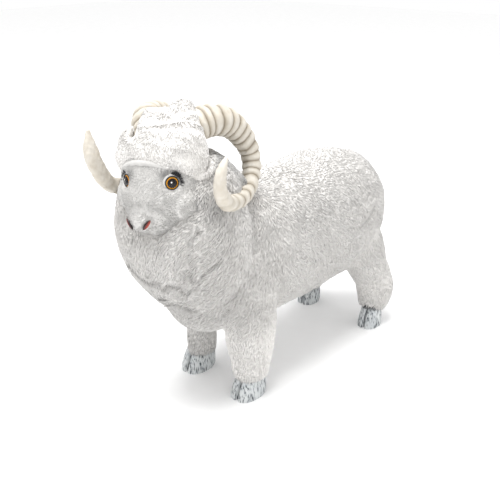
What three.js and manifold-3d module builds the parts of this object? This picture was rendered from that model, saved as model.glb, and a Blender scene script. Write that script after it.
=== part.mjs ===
// A standing merino ram figurine: moulded body, legs and head, covered in white pile fabric,
// with ribbed horns, glass eyes, ears, nostril linings and painted hooves.
// Millimetres. The ram faces -Y, its left side is +X, and +Z is up.
import * as THREE from "three";
import { mergeVertices } from "three/addons/utils/BufferGeometryUtils.js";
import Module from "manifold-3d";

const wasm = await Module();
wasm.setup();

// ---- driving dimensions ------------------------------------------------------------------
const GAP = 0.3; // clearance between pieces that touch
const FLEECE = 4; // backing and pile of the torso cover
const WALL = 2.5; // moulded shell wall
const SKIN = 3; // face pile and its backing
const NECK_SEAM = 160; // height of the seam between the chest bib and the collar
const FAR = 300; // beyond the figurine in every direction
const HOOF_SPACING = 160; // front hooves to rear hooves, along Y
const FRONT_TRACK = 56; // left to right front hoof centres
const REAR_TRACK = 68;
const HOOF_HEIGHT = 18;
const HEM = HOOF_HEIGHT + GAP; // lower edge of the leg sleeves
const HEAD_PIVOT = new THREE.Vector3(1, -45, 0); // the head turns about a vertical line here
const HEAD_TURN = THREE.MathUtils.degToRad(14); // towards the ram's left
const EYE_RADIUS = 5;
const EYE_DISC = 0.9; // thickness of the painted disc
const EYE = new THREE.Vector3(16, -31.5, 183); // left eye's centre in the head's frame
const EYE_OUTWARD = THREE.MathUtils.degToRad(48); // how far each eye faces from straight ahead
const SIDES = { left: 1, right: -1 };
const UP = new THREE.Vector3(0, 0, 1);
const LEFT = new THREE.Vector3(1, 0, 0);

// Torso stations along Y: centre height, half width, half height.
const TORSO = [
  { y: -50, z: 106, wide: 9, tall: 12 },
  { y: -46, z: 106, wide: 27, tall: 34 },
  { y: -30, z: 105, wide: 42, tall: 51 },
  { y: 4, z: 105, wide: 47, tall: 56 },
  { y: 54, z: 106.5, wide: 49, tall: 57 },
  { y: 104, z: 107, wide: 49, tall: 56 },
  { y: 142, z: 107, wide: 46, tall: 53 },
  { y: 168, z: 106, wide: 38, tall: 45 },
  { y: 182, z: 105, wide: 23, tall: 30 },
  { y: 188, z: 104, wide: 9, tall: 13 },
];

// Chest and neck stations, from the brisket up to the nape: half width, half depth.
const CHEST = [
  { y: -2, z: 68, wide: 12, deep: 9 },
  { y: -6, z: 72, wide: 28, deep: 21 },
  { y: -14, z: 81, wide: 39, deep: 31 },
  { y: -25, z: 97, wide: 44.5, deep: 36.5 },
  { y: -34, z: 118, wide: 47, deep: 41 },
  { y: -40, z: 140, wide: 47.5, deep: 44 },
  { y: -42, z: 160, wide: 45, deep: 41.5 },
  { y: -43, z: 178, wide: 40, deep: 36 },
  { y: -44, z: 190, wide: 30, deep: 27 },
  { y: -44, z: 195, wide: 13, deep: 12 },
];

// Head stations in the head's own frame, whose -Y is the way it looks: from the poll to the lips.
const HEAD = [
  { y: -3, z: 221, wide: 9, deep: 8 },
  { y: -6, z: 217, wide: 19, deep: 17 },
  { y: -11, z: 205, wide: 26, deep: 22 },
  { y: -16, z: 191, wide: 26, deep: 22 },
  { y: -22, z: 177, wide: 24, deep: 22 },
  { y: -29, z: 165, wide: 20, deep: 18 },
  { y: -34, z: 156.5, wide: 15.5, deep: 13 },
  { y: -37, z: 151.5, wide: 9, deep: 7 },
];

// Legs from the hem above the hoof up into the torso: how far the leg leans in towards the
// middle, half width, half depth.
const FRONT_LEFT_LEG = [
  { inward: 0, y: 0, z: HEM, wide: 12.5, deep: 13 },
  { inward: 0, y: 0, z: 30, wide: 16, deep: 16 },
  { inward: 1, y: 0, z: 46, wide: 19.5, deep: 19 },
  { inward: 2, y: 0, z: 66, wide: 21.5, deep: 22 },
  { inward: 4, y: 0, z: 84, wide: 19, deep: 22 },
  { inward: 5, y: 0, z: 94, wide: 11, deep: 13 },
];
const FRONT_RIGHT_LEG = [
  { inward: 2, y: 0, z: HEM, wide: 11, deep: 11 },
  { inward: 3, y: 0, z: 30, wide: 12.5, deep: 12.5 },
  { inward: 5, y: 0, z: 46, wide: 15, deep: 15 },
  { inward: 5, y: 0, z: 66, wide: 19, deep: 20 },
  { inward: 5, y: 0, z: 84, wide: 19, deep: 21 },
  { inward: 6, y: 0, z: 94, wide: 11, deep: 13 },
];
const REAR_LEG = [
  { inward: 0, y: 0, z: HEM, wide: 11.5, deep: 12.5 },
  { inward: 0, y: 3, z: 32, wide: 13.5, deep: 15.5 },
  { inward: 0, y: 5, z: 46, wide: 15.5, deep: 17.5 },
  { inward: 0, y: -2, z: 66, wide: 18, deep: 18.5 },
  { inward: 2, y: -14, z: 90, wide: 18, deep: 19 },
  { inward: 4, y: -22, z: 106, wide: 12, deep: 12 },
];
const LEGS = {
  front_left: { x: FRONT_TRACK / 2, y: 0, stations: FRONT_LEFT_LEG },
  front_right: { x: -FRONT_TRACK / 2, y: 0, stations: FRONT_RIGHT_LEG },
  rear_left: { x: REAR_TRACK / 2, y: HOOF_SPACING, stations: REAR_LEG },
  rear_right: { x: -REAR_TRACK / 2, y: HOOF_SPACING, stations: REAR_LEG },
};
const LEG_CORE = { radius: 7, top: 80, inward: 0.75 }; // its top is nearer the middle by this share

// Hoof stations from the sole up: how far its middle is ahead of the leg, half width, half length.
// The first and the last are cut away level with the sole and the hem.
const HOOF = [
  { ahead: 3, z: -2, wide: 10.5, deep: 15 },
  { ahead: 2.4, z: 5.4, wide: 10.5, deep: 14.1 },
  { ahead: 1, z: 12.6, wide: 9.7, deep: 12.6 },
  { ahead: 0, z: 20, wide: 8.4, deep: 10.2 },
];
const CLEFT = { width: 3.4, depth: 7, ahead: 18, lean: 0.39 }; // groove up the front of the hoof

const TAIL = [
  { y: 174, z: 136, wide: 8, deep: 4 },
  { y: 185, z: 126, wide: 11, deep: 5.5 },
  { y: 190, z: 111, wide: 11, deep: 5.5 },
  { y: 191, z: 96, wide: 9, deep: 4.5 },
  { y: 190, z: 88, wide: 4, deep: 2.5 },
];

// A post joins the torso to the head inside the padded neck.
const NECK_POST = {
  foot: new THREE.Vector3(0, -20, 124),
  top: new THREE.Vector3(0, -42, 190),
  radius: 11,
};

// Left horn in the head's frame: centre line and radius, from inside the wool to the tip.
const HORN = [
  { x: 21, y: -6, z: 210, r: 9.8 },
  { x: 23, y: 4, z: 214.5, r: 9.8 },
  { x: 25, y: 18, z: 214, r: 9.2 },
  { x: 28, y: 34, z: 204.5, r: 8 },
  { x: 31, y: 44, z: 187.5, r: 6.9 },
  { x: 35, y: 41, z: 171, r: 6.3 },
  { x: 39, y: 25, z: 162, r: 6.2 },
  { x: 43, y: 5, z: 161.5, r: 6 },
  { x: 46, y: -12, z: 170, r: 5.6 },
  { x: 49, y: -21, z: 185, r: 4.6 },
  { x: 52, y: -22, z: 202, r: 1.8 },
];
const HORN_TIP_LIFT = { left: 0, right: 3 }; // the right tip stands a little higher
const HORN_PEG = { inner: new THREE.Vector3(15, -13, 202), radius: 4.5 };
const EAR = {
  length: 32,
  width: 9,
  thickness: 2.4,
  root: new THREE.Vector3(25, 3, 195), // left ear, in the head's frame
  along: new THREE.Vector3(0.38, 0.65, -0.66),
};

// The rest of the head, each in the head's frame: the left one where there are two.
const WOOL_ROLL = { centre: new THREE.Vector3(0, -12, 198), radii: new THREE.Vector3(37, 29, 17) };
const WOOL_KNOT = { centre: new THREE.Vector3(1, -8, 212), radii: new THREE.Vector3(25, 24, 17) };
const CHIN = { centre: new THREE.Vector3(0, -31, 151.5), radii: new THREE.Vector3(11, 10, 6) };
const BROW = { span: 36, y: -38.5, z: 201, back: 6, rise: 11, radius: 3, thinning: 0.45 };
const NOSTRIL = {
  centre: new THREE.Vector3(6.5, -43.5, 159.5),
  radii: new THREE.Vector3(1.8, 3.2, 5),
  turn: new THREE.Vector3(-0.35, 0.55, 0.5),
};
const LASH = {
  centre: new THREE.Vector3(22.5, -29.5, 187),
  radii: new THREE.Vector3(4, 2.6, 1.3),
  turn: new THREE.Vector3(0, 0.6, 0.8),
};

// ---- solids ------------------------------------------------------------------------------
function solidOf(geometry) {
  const bare = geometry.clone();
  bare.deleteAttribute("normal");
  bare.deleteAttribute("uv");
  const merged = mergeVertices(bare, 1e-4);
  return new wasm.Manifold(
    new wasm.Mesh({
      numProp: 3,
      vertProperties: merged.attributes.position.array,
      triVerts: new Uint32Array(merged.index.array),
    }),
  );
}

function geometryOf(solid) {
  const mesh = solid.getMesh();
  const geometry = new THREE.BufferGeometry();
  geometry.setAttribute("position", new THREE.BufferAttribute(mesh.vertProperties, 3));
  geometry.setIndex(new THREE.BufferAttribute(mesh.triVerts, 1));
  geometry.computeVertexNormals();
  return geometry;
}

// A closed body through elliptical rings. A station has a centre, a direction that its width
// runs in, and two half sizes; grow makes the whole body fatter and longer by that much.
function loft(stations, { rings, sides, widthways = LEFT, grow = 0 }) {
  const line = new THREE.CatmullRomCurve3(
    stations.map((s) => new THREE.Vector3(s.x ?? 0, s.y, s.z)),
    false,
    "catmullrom",
    0.5,
  );
  const sizes = new THREE.CatmullRomCurve3(
    stations.map((s) => new THREE.Vector3(s.wide, s.deep, 0)),
    false,
    "catmullrom",
    0.5,
  );
  const positions = [];
  const addPoint = (p) => positions.push(p.x, p.y, p.z);
  for (let i = 0; i <= rings; i++) {
    const t = i / rings;
    const along = line.getTangent(t);
    const across = widthways.clone().addScaledVector(along, -widthways.dot(along)).normalize();
    const outward = new THREE.Vector3().crossVectors(along, across);
    const size = sizes.getPoint(t);
    const centre = line.getPoint(t).addScaledVector(along, grow * (2 * t - 1));
    if (i === 0) addPoint(centre);
    for (let j = 0; j < sides; j++) {
      const angle = (2 * Math.PI * j) / sides;
      const point = centre
        .clone()
        .addScaledVector(across, (size.x + grow) * Math.cos(angle))
        .addScaledVector(outward, (size.y + grow) * Math.sin(angle));
      addPoint(point);
    }
    if (i === rings) addPoint(centre);
  }
  const index = [];
  const last = positions.length / 3 - 1;
  const ringStart = (i) => 1 + i * sides;
  for (let j = 0; j < sides; j++) {
    const next = (j + 1) % sides;
    index.push(0, ringStart(0) + next, ringStart(0) + j);
    index.push(last, ringStart(rings) + j, ringStart(rings) + next);
    for (let i = 0; i < rings; i++) {
      const a = ringStart(i) + j;
      const b = ringStart(i) + next;
      const c = ringStart(i + 1) + j;
      const d = ringStart(i + 1) + next;
      index.push(a, b, d, a, d, c);
    }
  }
  const geometry = new THREE.BufferGeometry();
  geometry.setAttribute("position", new THREE.Float32BufferAttribute(positions, 3));
  geometry.setIndex(index);
  return solidOf(geometry);
}

function box(min, max) {
  const size = new THREE.Vector3().subVectors(max, min);
  const centre = new THREE.Vector3().addVectors(min, max).multiplyScalar(0.5);
  const geometry = new THREE.BoxGeometry(size.x, size.y, size.z);
  return solidOf(geometry.translate(centre.x, centre.y, centre.z));
}

function ellipsoid({ centre, radii }, { grow = 0, segments = 14, turn = new THREE.Euler() } = {}) {
  const geometry = new THREE.SphereGeometry(1, segments, segments / 2);
  geometry.rotateX(Math.PI / 2);
  geometry.scale(radii.x + grow, radii.y + grow, radii.z + grow);
  geometry.applyQuaternion(new THREE.Quaternion().setFromEuler(turn));
  return solidOf(geometry.translate(centre.x, centre.y, centre.z));
}

// A rod from one point to another.
function rod(from, to, radius, { grow = 0, sides = 14 } = {}) {
  const span = new THREE.Vector3().subVectors(to, from);
  const geometry = new THREE.CylinderGeometry(
    radius + grow,
    radius + grow,
    span.length() + 2 * grow,
    sides,
  );
  const turn = new THREE.Quaternion().setFromUnitVectors(
    new THREE.Vector3(0, 1, 0),
    span.clone().normalize(),
  );
  const middle = new THREE.Vector3().addVectors(from, to).multiplyScalar(0.5);
  geometry.applyQuaternion(turn).translate(middle.x, middle.y, middle.z);
  return solidOf(geometry);
}

// The half of a body on one side of the plane X = 0, clear of it by half a gap.
function half(solid, side) {
  const inner = GAP / 2;
  const low = new THREE.Vector3(side > 0 ? inner : -FAR, -FAR, -FAR);
  const high = new THREE.Vector3(side > 0 ? FAR : -inner, FAR, FAR);
  return solid.intersect(box(low, high));
}

// ---- materials ---------------------------------------------------------------------------
function finish(color, roughness, metalness = 0) {
  return { color, roughness, metalness };
}
const FINISHES = {
  fleece: finish(0xf4f4f2, 0.95),
  face_pile: finish(0xe9e8e6, 0.9),
  moulded: finish(0xdcd8cc, 0.6),
  horn: finish(0xe6dfd0, 0.5),
  hoof: finish(0xb4b9bf, 0.55),
  amber: finish(0xd98a12, 0.2),
  glass: finish(0x101010, 0.05),
  nostril: finish(0xb5402c, 0.5),
  lash: finish(0x2a2a2c, 0.8),
};

const figurine = new THREE.Group();
const head = new THREE.Group();
head.position.copy(HEAD_PIVOT);
head.rotation.z = HEAD_TURN;
figurine.add(head);

function addPiece(parent, name, slot, solid) {
  const mesh = new THREE.Mesh(geometryOf(solid), new THREE.MeshStandardMaterial(FINISHES[slot]));
  mesh.name = name;
  parent.add(mesh);
}

// A body of the head's frame, moved to the frame of the whole figurine, or back.
const toWorld = new THREE.Matrix4().compose(
  HEAD_PIVOT,
  new THREE.Quaternion().setFromAxisAngle(UP, HEAD_TURN),
  new THREE.Vector3(1, 1, 1),
);
const toHead = toWorld.clone().invert();
function moved(solid, matrix) {
  return solidOf(geometryOf(solid).applyMatrix4(matrix));
}

// ---- outer forms -------------------------------------------------------------------------
function torsoForm(grow) {
  const stations = TORSO.map((s) => ({ y: s.y, z: s.z, wide: s.wide, deep: s.tall }));
  return loft(stations, { rings: 12, sides: 18, grow });
}

function chestForm(grow) {
  return loft(CHEST, { rings: 12, sides: 18, grow });
}

function headForm(grow) {
  return loft(HEAD, { rings: 9, sides: 14, grow });
}

// A broad roll of wool round the brow and a taller knot above it.
function woolForm(grow) {
  return ellipsoid(WOOL_ROLL, { grow }).add(ellipsoid(WOOL_KNOT, { grow }));
}

function chinForm(grow) {
  return ellipsoid(CHIN, { grow });
}

function neckPost(grow) {
  return rod(NECK_POST.foot, NECK_POST.top, NECK_POST.radius, { grow });
}

function legForm(leg, grow) {
  const stations = leg.stations.map((s) => ({
    x: leg.x - Math.sign(leg.x) * s.inward,
    y: leg.y + s.y,
    z: s.z,
    wide: s.wide,
    deep: s.deep,
  }));
  return loft(stations, { rings: 9, sides: 14, grow });
}

function legCore(leg, grow) {
  const foot = new THREE.Vector3(leg.x, leg.y, 0);
  const top = new THREE.Vector3(LEG_CORE.inward * leg.x, leg.y, LEG_CORE.top);
  return rod(foot, top, LEG_CORE.radius, { grow }).subtract(slab(-FAR, HEM - grow));
}

// Everything between two heights.
function slab(low, high) {
  return box(new THREE.Vector3(-FAR, -FAR, low), new THREE.Vector3(FAR, FAR, high));
}

function cutAll(solid, cutters) {
  return cutters.reduce((left, cutter) => left.subtract(cutter), solid);
}

// The biggest body of a solid: a cut at a grazing angle can leave slivers beside it.
function largest(solid) {
  return solid.decompose().reduce((a, b) => (a.volume() > b.volume() ? a : b));
}

// ---- torso -------------------------------------------------------------------------------
function buildTorso() {
  const coreHoles = Object.values(LEGS).map((leg) => legCore(leg, GAP));
  const shell = torsoForm(-FLEECE - GAP).subtract(torsoForm(-FLEECE - GAP - WALL));
  const fleece = torsoForm(0).subtract(torsoForm(-FLEECE)).subtract(neckPost(GAP));
  for (const [name, side] of Object.entries(SIDES)) {
    const halfShell = half(cutAll(shell, coreHoles), side);
    const halfFleece = half(cutAll(fleece, coreHoles), side);
    addPiece(figurine, `torso_shell_${name}`, "moulded", largest(halfShell));
    addPiece(figurine, `torso_fleece_${name}`, "fleece", largest(halfFleece));
  }
}

// ---- neck and chest ----------------------------------------------------------------------
function buildNeck() {
  addPiece(figurine, "neck_post", "moulded", neckPost(0).subtract(torsoForm(-FLEECE)));
  const headPieces = [headForm(GAP), woolForm(GAP), chinForm(GAP)];
  for (const name of Object.keys(SIDES)) {
    headPieces.push(hornForm(name, GAP), earForm(name, GAP));
  }
  const around = headPieces.map((solid) => moved(solid, toWorld));
  const frontLegs = [LEGS.front_left, LEGS.front_right].map((leg) => legForm(leg, GAP));
  const cover = cutAll(chestForm(0), [torsoForm(GAP), neckPost(GAP), ...around, ...frontLegs]);
  const bib = cover.intersect(slab(0, NECK_SEAM - GAP / 2));
  const collar = cover.intersect(slab(NECK_SEAM + GAP / 2, FAR));
  addPiece(figurine, "chest_bib", "fleece", largest(bib));
  addPiece(figurine, "neck_collar", "fleece", largest(collar));
}

// ---- legs and hooves ---------------------------------------------------------------------
// A wedge whose sharp edge points back into the hoof, leaning with the front of it.
function cleftForm(leg) {
  const wedge = new THREE.CylinderGeometry(1, 1, 4 * HOOF_HEIGHT, 3);
  wedge.rotateX(-Math.PI / 2);
  wedge.scale(CLEFT.width / 2, CLEFT.depth, 1);
  wedge.rotateX(-CLEFT.lean);
  wedge.translate(leg.x, leg.y - CLEFT.ahead, 0);
  return solidOf(wedge);
}

function hoofSolid(leg) {
  const stations = HOOF.map((s) => ({ ...s, x: leg.x, y: leg.y - s.ahead }));
  const block = loft(stations, { rings: 5, sides: 16 }).intersect(slab(0, HOOF_HEIGHT));
  return block.subtract(cleftForm(leg));
}

function buildLegs() {
  for (const [name, leg] of Object.entries(LEGS)) {
    const sleeve = cutAll(legForm(leg, 0), [torsoForm(GAP), legCore(leg, GAP), slab(-FAR, HEM)]);
    addPiece(figurine, `leg_core_${name}`, "moulded", legCore(leg, 0));
    addPiece(figurine, `leg_sleeve_${name}`, "fleece", largest(sleeve));
    addPiece(figurine, `hoof_${name}`, "hoof", hoofSolid(leg));
  }
}

// ---- tail --------------------------------------------------------------------------------
function buildTail() {
  const tail = loft(TAIL, { rings: 8, sides: 12 }).subtract(torsoForm(GAP));
  addPiece(figurine, "tail", "fleece", largest(tail));
}

// ---- horns and ears ----------------------------------------------------------------------
function hornForm(name, grow) {
  const lastBeforeTip = HORN.length - 2;
  const stations = HORN.map((s, i) => ({
    x: SIDES[name] * s.x,
    y: s.y,
    z: s.z + (i > lastBeforeTip ? HORN_TIP_LIFT[name] : 0),
    wide: s.r,
    deep: s.r,
  }));
  return loft(stations, { rings: 24, sides: 9, grow });
}

// A stub that holds the horn to the head's moulding.
function hornPeg(name, grow) {
  const { inner, radius } = HORN_PEG;
  const side = SIDES[name];
  const inside = new THREE.Vector3(side * inner.x, inner.y, inner.z);
  const outside = new THREE.Vector3(side * HORN[0].x, HORN[0].y, HORN[0].z);
  return rod(inside, outside, radius, { grow, sides: 10 });
}

// A leaf that hangs back and out from behind the horn's root, with a blunt tip.
function earForm(name, grow) {
  const { length, width, thickness } = EAR;
  const outline = new THREE.Shape();
  outline.moveTo(-0.3 * width - grow, -grow);
  outline.quadraticCurveTo(-0.75 * width - grow, 0.5 * length, -0.3 * width, length + grow);
  outline.lineTo(0.3 * width, 0.94 * length + grow);
  outline.quadraticCurveTo(0.75 * width + grow, 0.5 * length, 0.3 * width + grow, -grow);
  outline.closePath();
  const geometry = new THREE.ExtrudeGeometry(outline, {
    depth: thickness + 2 * grow,
    bevelEnabled: false,
    curveSegments: 5,
  });
  geometry.translate(0, 0, -thickness / 2 - grow);
  const side = SIDES[name];
  const along = new THREE.Vector3(side * EAR.along.x, EAR.along.y, EAR.along.z).normalize();
  const across = new THREE.Vector3(0, 1, 1).addScaledVector(along, -along.y - along.z).normalize();
  const facing = new THREE.Vector3().crossVectors(across, along);
  const place = new THREE.Matrix4().makeBasis(across, along, facing);
  place.setPosition(side * EAR.root.x, EAR.root.y, EAR.root.z);
  return solidOf(geometry.applyMatrix4(place));
}

function buildHornsAndEars() {
  for (const name of Object.keys(SIDES)) {
    addPiece(head, `horn_${name}`, "horn", hornForm(name, 0).subtract(hornPeg(name, GAP)));
    addPiece(head, `horn_peg_${name}`, "moulded", hornPeg(name, 0));
    const ear = cutAll(earForm(name, 0), [headForm(GAP), woolForm(GAP), hornForm(name, GAP)]);
    addPiece(head, `ear_${name}`, "face_pile", largest(ear));
  }
}

// ---- eyes, nostrils, lashes, brow and chin ------------------------------------------------
function eyePlace(name) {
  const side = SIDES[name];
  const facing = new THREE.Vector3(
    side * Math.sin(EYE_OUTWARD),
    -Math.cos(EYE_OUTWARD),
    0.05,
  ).normalize();
  const turn = new THREE.Quaternion().setFromUnitVectors(UP, facing);
  const centre = new THREE.Vector3(side * EYE.x, EYE.y, EYE.z);
  return new THREE.Matrix4().compose(centre, turn, new THREE.Vector3(1, 1, 1));
}

function eyeBall(grow) {
  const radii = new THREE.Vector3(EYE_RADIUS, EYE_RADIUS, EYE_RADIUS);
  return ellipsoid({ centre: new THREE.Vector3(), radii }, { grow });
}

function eyeSocket(name) {
  return moved(eyeBall(GAP), eyePlace(name));
}

// A clear half ball with a painted disc behind it.
function buildEye(name) {
  const back = new THREE.Vector3(0, 0, -GAP - EYE_DISC);
  const front = new THREE.Vector3(0, 0, -GAP);
  const disc = rod(back, front, EYE_RADIUS - 2 * GAP, { sides: 18 });
  const dome = eyeBall(0).subtract(slab(-FAR, 0));
  addPiece(head, `eye_glass_${name}`, "glass", moved(dome, eyePlace(name)));
  addPiece(head, `eye_disc_${name}`, "amber", moved(disc, eyePlace(name)));
}

// A small ellipsoid of the left side of the head, or its mirror image on the right.
function sidePiece({ centre, radii, turn }, name, { grow, segments }) {
  const side = SIDES[name];
  const place = new THREE.Vector3(side * centre.x, centre.y, centre.z);
  const angles = new THREE.Euler(turn.x, side * turn.y, side * turn.z);
  return ellipsoid({ centre: place, radii }, { grow, segments, turn: angles });
}

// A slit on the side of the nose, leaning out at the top.
function nostril(name, grow) {
  return sidePiece(NOSTRIL, name, { grow, segments: 12 });
}

// A tuft of dark hair at the outer top corner of the eye.
function lash(name, grow) {
  return sidePiece(LASH, name, { grow, segments: 10 });
}

// A smooth arch over both eyes, where the face's short pile meets the wool.
function browRoll(grow) {
  const stations = [-1, -0.6, 0, 0.6, 1].map((u) => {
    const radius = BROW.radius * (1 - BROW.thinning * u * u);
    return {
      x: (BROW.span / 2) * u,
      y: BROW.y + BROW.back * u * u,
      z: BROW.z - BROW.rise * u * u,
      wide: radius,
      deep: radius,
    };
  });
  return loft(stations, { rings: 10, sides: 10, widthways: UP, grow });
}

function buildHead() {
  const names = Object.keys(SIDES);
  const inHead = (solid) => moved(solid, toHead);
  const post = inHead(neckPost(GAP));
  const pegs = names.map((name) => hornPeg(name, GAP));
  const horns = names.map((name) => hornForm(name, GAP));
  const sockets = names.map(eyeSocket);
  const lashes = names.map((name) => lash(name, GAP));
  const nostrils = names.map((name) => nostril(name, GAP));
  const chinSpace = chinForm(GAP);
  const core = cutAll(headForm(-SKIN), [post, ...pegs, ...horns, ...sockets, ...nostrils, chinSpace]);
  const skin = headForm(0).subtract(headForm(-SKIN + GAP));
  const openings = [...pegs, ...horns, ...sockets, ...lashes, ...nostrils];
  const face = cutAll(skin, [post, ...openings, woolForm(-SKIN), browRoll(GAP), chinSpace]);
  const wool = cutAll(woolForm(0), [headForm(GAP), post, ...openings, browRoll(GAP)]);
  addPiece(head, "head_core", "moulded", largest(core));
  addPiece(head, "face_skin", "face_pile", largest(face));
  addPiece(head, "topknot", "fleece", largest(wool));
  addPiece(head, "brow_roll", "face_pile", cutAll(browRoll(0), sockets));
  addPiece(head, "chin", "face_pile", cutAll(chinForm(0), nostrils));
  for (const name of names) {
    buildEye(name);
    addPiece(head, `nostril_${name}`, "nostril", nostril(name, 0));
    addPiece(head, `lash_${name}`, "lash", largest(lash(name, 0).subtract(eyeSocket(name))));
  }
}

buildTorso();
buildNeck();
buildLegs();
buildTail();
buildHornsAndEars();
buildHead();

// The origin goes to the middle of the bounding box, on the ground.
figurine.updateMatrixWorld(true);
const bounds = new THREE.Box3().setFromObject(figurine, true);
const middle = bounds.getCenter(new THREE.Vector3());
figurine.position.set(-middle.x, -middle.y, -bounds.min.z);

const part = new THREE.Group();
part.add(figurine);
export default part;
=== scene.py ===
"""Looks of the standing ram figurine: white pile fabric, ribbed horns, glass eyes, painted hooves.

Shapes are drawn in millimetres in the ram's own frame: the origin is on the ground midway between
the front legs, the ram faces -Y and its left side is +X. The head has a frame of its own, turned
about a vertical line through the neck. Everything becomes metres of the CAD's frame at the end.
"""

import math

import bpy
import numpy as np
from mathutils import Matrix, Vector
from mathutils.bvhtree import BVHTree


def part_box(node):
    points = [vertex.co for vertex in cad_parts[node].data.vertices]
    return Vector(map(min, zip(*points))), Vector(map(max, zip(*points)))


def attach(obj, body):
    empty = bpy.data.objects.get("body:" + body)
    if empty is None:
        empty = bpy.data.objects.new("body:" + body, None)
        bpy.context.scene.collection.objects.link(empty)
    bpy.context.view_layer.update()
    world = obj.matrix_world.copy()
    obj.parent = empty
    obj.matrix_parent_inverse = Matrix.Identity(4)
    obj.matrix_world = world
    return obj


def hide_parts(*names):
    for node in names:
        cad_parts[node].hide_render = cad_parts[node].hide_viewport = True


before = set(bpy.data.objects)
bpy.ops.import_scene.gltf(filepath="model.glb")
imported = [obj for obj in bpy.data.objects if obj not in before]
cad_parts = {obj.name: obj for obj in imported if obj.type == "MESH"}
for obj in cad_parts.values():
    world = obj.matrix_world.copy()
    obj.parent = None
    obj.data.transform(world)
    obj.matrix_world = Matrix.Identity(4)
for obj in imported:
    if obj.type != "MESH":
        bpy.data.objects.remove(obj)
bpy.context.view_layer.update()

# ---- driving dimensions, in millimetres ----
MM = 0.001
HEEL_BEHIND_LEG = 12.0  # how far a front hoof's heel is behind the line of its leg
HEAD_PIVOT = np.array([1.0, -45.0, 0.0])
HEAD_TURN = math.radians(14)
SIDES = {"left": 1, "right": -1}
EYE_RADIUS = 4.05
EYE_BULGE = 1.7
# The eyes' centres, and the top and the lower end of each nostril slit, in the head's frame.
EYE_PLACES = {1: np.array([17.6, -35.0, 185.3]), -1: np.array([-14.4, -36.8, 183.0])}
NOSTRILS = {
    1: np.array([(9.0, -48.5, 163.6), (4.0, -50.0, 156.6)]),
    -1: np.array([(-9.2, -48.0, 161.4), (-4.2, -49.8, 156.0)]),
}
EYE_OUTWARD = {1: math.radians(43), -1: math.radians(29)}
EYE_UPWARD = 0.05  # how much an eye looks up
EYE_SEAT = 5.2  # radius of the flattened place that an eye sits in
EYE_SINK = 0.6  # how far that place is behind the eye's centre
GLINT = (-0.6, 0.7)  # where the white catch light is painted on the pupil
GLINT_RADIUS = 0.55
FAR_OUTSIDE = 15.0  # further than this from a solid, a place needs no test
MOST_LOCKS = 33000  # in one piece, so that a piece stays under 200,000 triangles

# Body stations: x, y, z, half width, half depth across the line of the form.
TORSO = [
    (0, -50, 108, 9, 12),
    (0, -46, 108.5, 28.5, 35),
    (0, -30, 108, 42.5, 48.5),
    (0, 4, 106.5, 47, 54),
    (0, 54, 106, 49, 56.5),
    (0, 104, 106.5, 49, 55.5),
    (0, 140, 106.5, 47, 54),
    (0, 165, 107.5, 39, 46),
    (0, 179, 106.5, 25, 31),
    (0, 185.5, 105.5, 10, 13),
]
CHEST = [
    (1, 0, 83, 7, 6),
    (1, -3, 85, 14, 12),
    (1, -10, 90, 25.5, 22),
    (0.5, -23, 99.5, 38.5, 32.2),
    (0, -34, 118, 47.2, 40.5),
    (0, -40, 140, 48.8, 44.3),
    (0, -42, 160, 44.8, 41.3),
    (0, -43, 178, 39.8, 35.8),
    (0, -44, 190, 29, 26),
    (0, -44, 195, 13, 12),
]
FRONT_LEFT_LEG = [
    (28.3, 0, 17, 11.5, 12.5),
    (28.3, 0, 30, 14.5, 15),
    (27.3, 0, 46, 18, 18),
    (26.8, 0, 66, 19.2, 20.5),
    (26, 0, 84, 19, 21),
    (23, 0, 94, 12, 13),
]
FRONT_RIGHT_LEG = [
    (-27.5, 3.5, 17, 10, 11.5),
    (-26.5, 3, 30, 10.3, 11.8),
    (-25.5, 3, 46, 11.3, 12.5),
    (-24.5, 2.5, 66, 12.5, 15),
    (-24.5, 2, 84, 15.5, 19),
    (-22, 2, 94, 12, 13),
]
REAR_LEG = [
    (36, 159, 17, 11.5, 12),
    (36.5, 162, 26, 13.5, 15.5),
    (36, 162.5, 36, 14.5, 16.5),
    (35, 158.5, 48, 14.5, 16),
    (33, 148.5, 66, 17, 18),
    (31, 140, 90, 17.5, 18.5),
    (30, 136, 106, 12, 12),
]
TAIL = [
    (0, 173, 139, 7.5, 5),
    (0, 184, 128, 10, 5),
    (0, 188.5, 112, 10, 5),
    (0, 188, 97, 8, 4.5),
    (0, 185, 87, 4, 2.5),
]
# Soft masses laid over the body: centre and radii.
BODY_MASSES = [
    ((22, 138, 96), (22, 34, 34)),  # left haunch
    ((-22, 138, 96), (22, 34, 34)),
    ((22, -4, 107), (22, 27, 25)),  # left shoulder
    ((-20, -4, 108), (21, 25, 23)),
    ((25, -10, 131), (19, 26, 21)),  # left side of the neck
    ((-25, -10, 131), (19, 26, 21)),
    ((19, 160, 92), (15, 19, 22)),  # left buttock
    ((-19, 160, 92), (15, 19, 22)),
    ((27, 158, 67), (13, 14.5, 21)),  # behind the left hock
    ((-27, 158, 67), (13, 14.5, 21)),
]
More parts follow.
